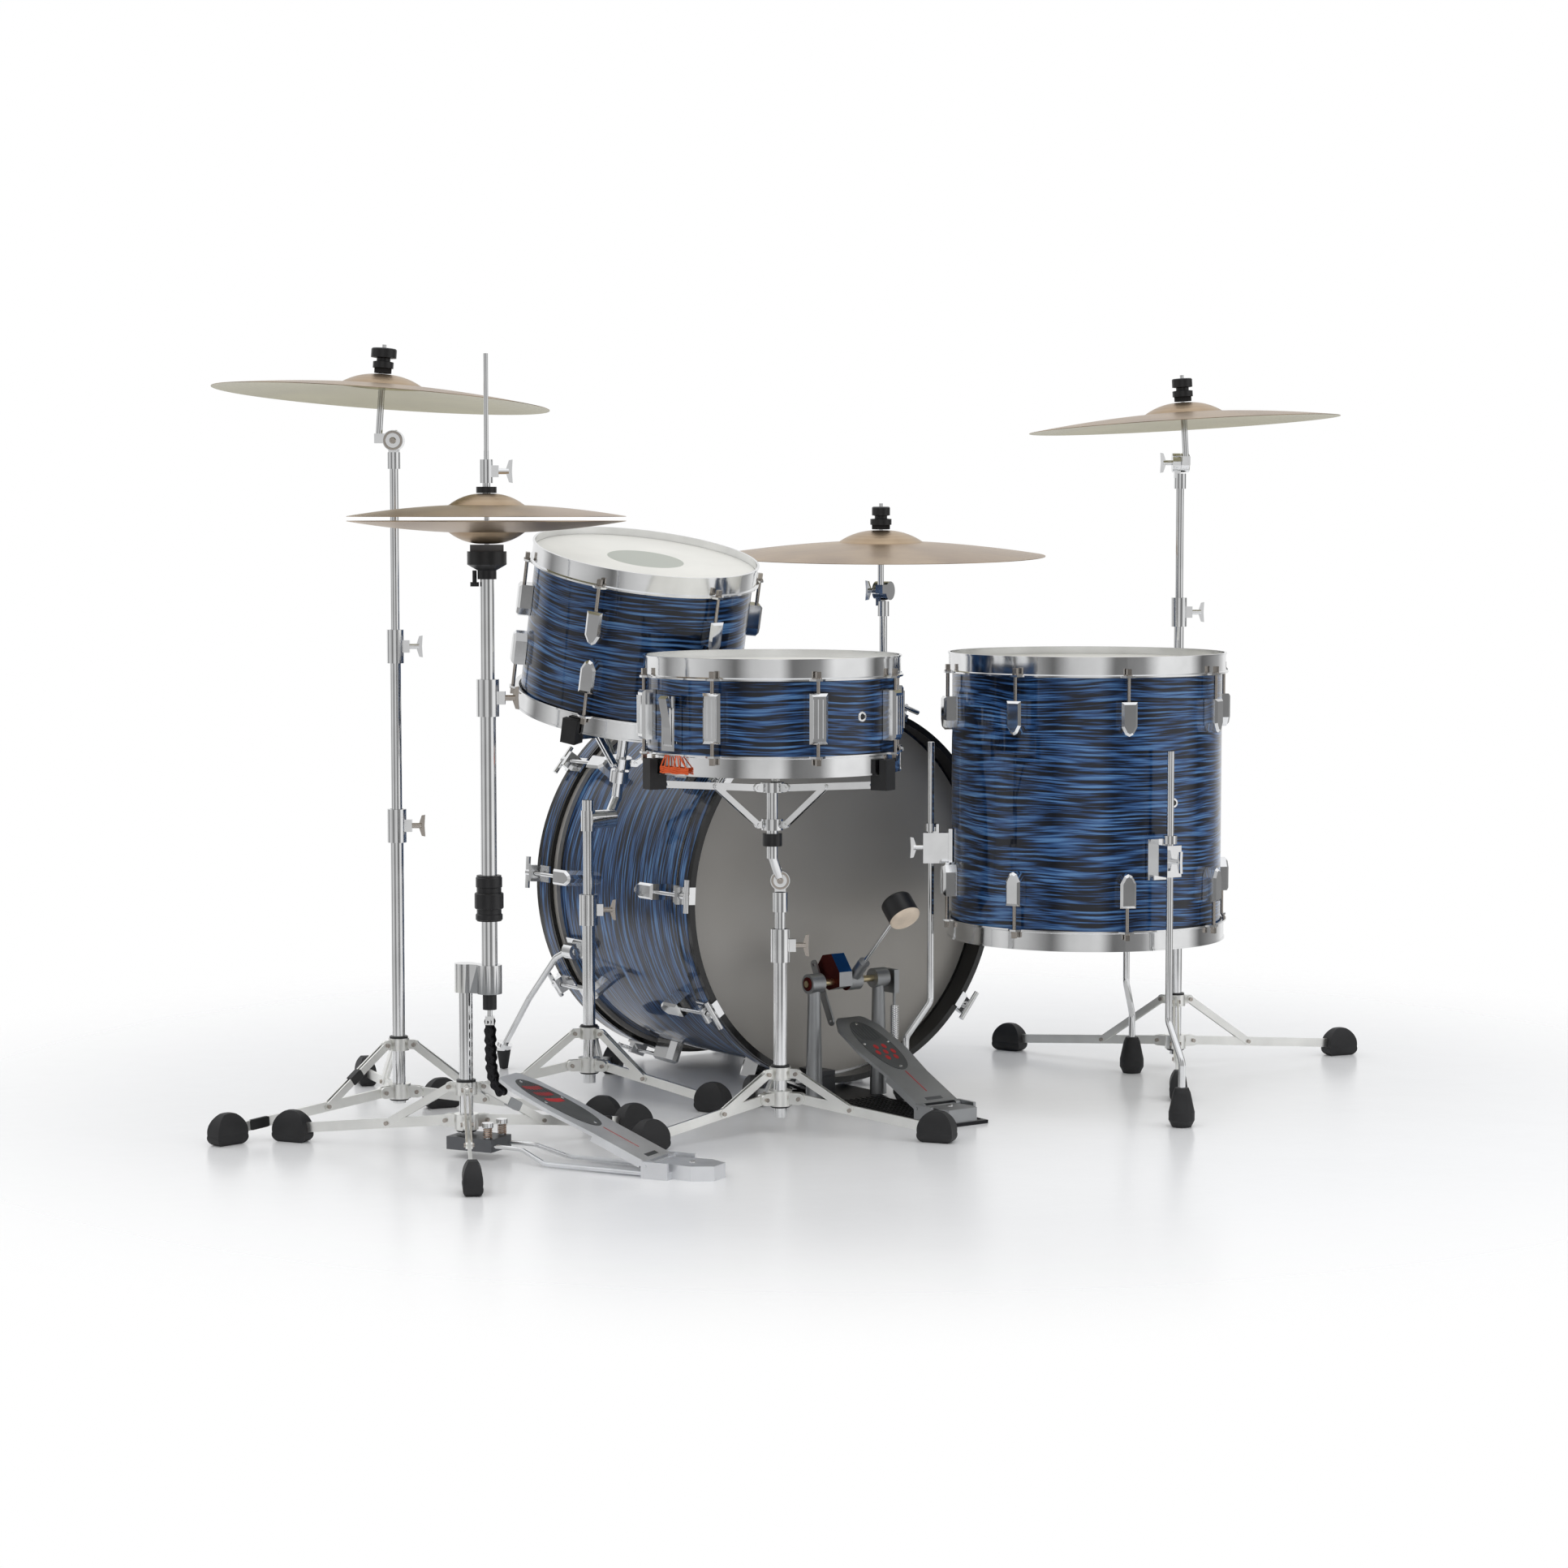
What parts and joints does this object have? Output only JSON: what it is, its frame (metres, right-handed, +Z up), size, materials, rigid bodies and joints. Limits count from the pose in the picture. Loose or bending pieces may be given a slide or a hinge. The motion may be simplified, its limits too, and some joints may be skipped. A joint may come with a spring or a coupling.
{
  "type": "acoustic drum kit",
  "caption": "Four-piece acoustic drum kit with bass drum, tom, snare, floor tom, hi-hat, two crashes, a ride, flat-base stands and both pedals.",
  "frame": {"origin": "on the floor under the near face of the bass drum's batter hoop, on its centreline, on the underside of the kick pedal's base plate", "axes": "+Y from the drummer to the audience along the bass drum's axis, +X to the drummer's right, +Z up"},
  "size_m": [1.9193, 1.0806, 1.1347],
  "materials": {
    "pearl_wrap": "glossy streaked pearl wrap in blue and black",
    "black_lacquer": "gloss black lacquer with a blue inlay",
    "chrome": "polished chrome plate",
    "zinc_steel": "bright plated steel",
    "cast_grey": "satin cast alloy",
    "black_steel": "black powder coat",
    "bronze": "lathed satin bronze",
    "drum_film": "satin coated film",
    "rubber_black": "matt black rubber",
    "felt_black": "pressed felt and nylon"
  },
  "bodies": {
    "kit_base": {"bass_shell": "pearl_wrap", "bass_hoops": "black_lacquer", "bass_heads": "drum_film", "bass_lugs": "chrome", "bass_claws": "chrome", "bass_t_rods": "chrome", "bass_shell_brackets": "chrome", "stand_base_tubes": "chrome", "stand_castings": "cast_grey", "stand_legs": "zinc_steel", "stand_braces": "zinc_steel", "stand_fasteners": "chrome", "rubber_feet": "rubber_black", "floor_tom_legs": "chrome", "kick_base_plate": "black_steel", "kick_posts": "cast_grey", "hihat_frame": "cast_grey"},
    "left_spur": {"spur_left": "chrome"},
    "right_spur": {"spur_right": "chrome"},
    "tom_post": {"tom_mast": "chrome"},
    "tom_drum": {"tom_basket": "chrome", "tom_shell": "pearl_wrap", "tom_hoops": "chrome", "tom_heads": "drum_film", "tom_lugs": "chrome", "tom_tension_rods": "chrome"},
    "snare_post": {"snare_mast": "chrome"},
    "snare_drum": {"snare_basket": "chrome", "snare_shell": "pearl_wrap", "snare_hoops": "chrome", "snare_heads": "drum_film", "snare_lugs": "chrome", "snare_tension_rods": "chrome", "snare_wires": "zinc_steel", "snare_strainer": "chrome"},
    "throw_off": {"strainer_lever": "chrome"},
    "floor_tom_drum": {"floor_tom_shell": "pearl_wrap", "floor_tom_hoops": "chrome", "floor_tom_heads": "drum_film", "floor_tom_lugs": "chrome", "floor_tom_tension_rods": "chrome", "floor_tom_brackets": "chrome"},
    "crash_left_post": {"crash_left_tube": "chrome"},
    "crash_left_head": {"crash_left_tilter": "chrome"},
    "crash_left_disc": {"crash_left_cymbal": "bronze"},
    "crash_right_post": {"crash_right_tube": "chrome"},
    "crash_right_head": {"crash_right_tilter": "chrome"},
    "crash_right_disc": {"crash_right_cymbal": "bronze"},
    "ride_post": {"ride_tube": "chrome"},
    "ride_head": {"ride_tilter": "chrome"},
    "ride_disc": {"ride_cymbal": "bronze"},
    "hihat_top_tube": {"hihat_upper_tube": "chrome", "hihat_bottom_cymbal": "bronze"},
    "hihat_pull": {"hihat_rod": "chrome", "hihat_top_cymbal": "bronze", "hihat_chain": "black_steel"},
    "hihat_pedal_board": {"hihat_footboard": "cast_grey"},
    "kick_pedal_board": {"kick_footboard": "cast_grey"},
    "kick_drive": {"kick_beater": "chrome"},
    "kick_pull_link": {"kick_link": "cast_grey"}
  },
  "joints": [
    {"name": "spur_left_swing", "type": "hinge", "parent": "kit_base", "child": "left_spur", "pos_m": [-0.27763, 0.35, 0.2002], "axis": [0, 1, 0], "range_deg": [0, 60]},
    {"name": "spur_right_swing", "type": "hinge", "parent": "kit_base", "child": "right_spur", "pos_m": [0.27763, 0.35, 0.2002], "axis": [0, -1, 0], "range_deg": [0, 60]},
    {"name": "tom_height", "type": "slide", "parent": "kit_base", "child": "tom_post", "axis": [0, 0, 1], "range_m": [0, 0.05]},
    {"name": "tom_tilt", "type": "hinge", "parent": "tom_post", "child": "tom_drum", "pos_m": [-0.3597, 0.1749, 0.425], "axis": [1, 0, 0], "range_deg": [-12, 0]},
    {"name": "snare_height", "type": "slide", "parent": "kit_base", "child": "snare_post", "axis": [0, 0, 1], "range_m": [-0.02, 0.06]},
    {"name": "snare_tilt", "type": "hinge", "parent": "snare_post", "child": "snare_drum", "pos_m": [-0.3042, -0.2456, 0.3655], "axis": [0.5878, 0.809, 0], "range_deg": [-10, 10]},
    {"name": "strainer_throw", "type": "hinge", "parent": "snare_drum", "child": "throw_off", "pos_m": [-0.51458, -0.27365, 0.5725], "axis": [0.0872, -0.9962, 0], "range_deg": [0, 75]},
    {"name": "floor_tom_height", "type": "slide", "parent": "kit_base", "child": "floor_tom_drum", "axis": [0, 0, 1], "range_m": [-0.08, 0.1]},
    {"name": "crash_left_height", "type": "slide", "parent": "kit_base", "child": "crash_left_post", "axis": [0, 0, 1], "range_m": [-0.03, 0.08]},
    {"name": "crash_left_tilt", "type": "hinge", "parent": "crash_left_post", "child": "crash_left_head", "pos_m": [-0.6867, 0.1852, 0.995], "axis": [0.5878, 0.809, 0], "range_deg": [-15, 20]},
    {"name": "crash_left_rocking", "type": "hinge", "parent": "crash_left_head", "child": "crash_left_disc", "pos_m": [-0.70047, 0.1917, 1.08992], "axis": [0.809, -0.5878, 0], "range_deg": [-4, 4]},
    {"name": "crash_right_height", "type": "slide", "parent": "kit_base", "child": "crash_right_post", "axis": [0, 0, 1], "range_m": [-0.05, 0.09]},
    {"name": "crash_right_tilt", "type": "hinge", "parent": "crash_right_post", "child": "crash_right_head", "pos_m": [0.5604, -0.1363, 0.969], "axis": [-0.809, 0.5878, 0], "range_deg": [-15, 15]},
    {"name": "crash_right_rocking", "type": "hinge", "parent": "crash_right_head", "child": "crash_right_disc", "pos_m": [0.55017, -0.15288, 1.06304], "axis": [0.809, -0.5878, 0], "range_deg": [-4, 4]},
    {"name": "ride_height", "type": "slide", "parent": "kit_base", "child": "ride_post", "axis": [0, 0, 1], "range_m": [0, 0.04]},
    {"name": "ride_tilt", "type": "hinge", "parent": "ride_post", "child": "ride_head", "pos_m": [0.21, 0.181, 0.765], "axis": [-0.4067, 0.9135, 0], "range_deg": [-8, 8]},
    {"name": "ride_rocking", "type": "hinge", "parent": "ride_head", "child": "ride_disc", "pos_m": [0.19139, 0.16367, 0.86113], "axis": [0.809, -0.5878, 0], "range_deg": [-4, 4]},
    {"name": "hihat_height", "type": "slide", "parent": "kit_base", "child": "hihat_top_tube", "axis": [0, 0, 1], "range_m": [-0.06, 0]},
    {"name": "hihat_pedal", "type": "hinge", "parent": "kit_base", "child": "hihat_pedal_board", "pos_m": [-0.62507, -0.41044, 0.017], "axis": [-0.887, -0.4617, 0], "range_deg": [0, 1.2]},
    {"name": "hihat_rod_pull", "type": "slide", "parent": "kit_base", "child": "hihat_pull", "axis": [0, 0, 1], "range_m": [-0.0051, 0], "deforming": ["hihat_chain"]},
    {"name": "kick_pedal", "type": "hinge", "parent": "kit_base", "child": "kick_pedal_board", "pos_m": [-0.06, -0.306, 0.022], "axis": [1, 0, 0], "range_deg": [-15, 0]},
    {"name": "kick_beater_swing", "type": "hinge", "parent": "kit_base", "child": "kick_drive", "pos_m": [-0.06, -0.08, 0.183], "axis": [1, 0, 0], "range_deg": [-73, 0]},
    {"name": "kick_link_swing", "type": "hinge", "parent": "kick_pedal_board", "child": "kick_pull_link", "pos_m": [-0.06, -0.08432, 0.12396], "axis": [1, 0, 0], "range_deg": [0, 32]}
  ],
  "couplings": [
    {"joint": "hihat_rod_pull", "follows": "hihat_pedal", "m_per_rad": -0.239},
    {"joint": "kick_beater_swing", "follows": "kick_pedal", "ratio": 4.8},
    {"joint": "kick_link_swing", "follows": "kick_pedal", "ratio": -2.07}
  ]
}
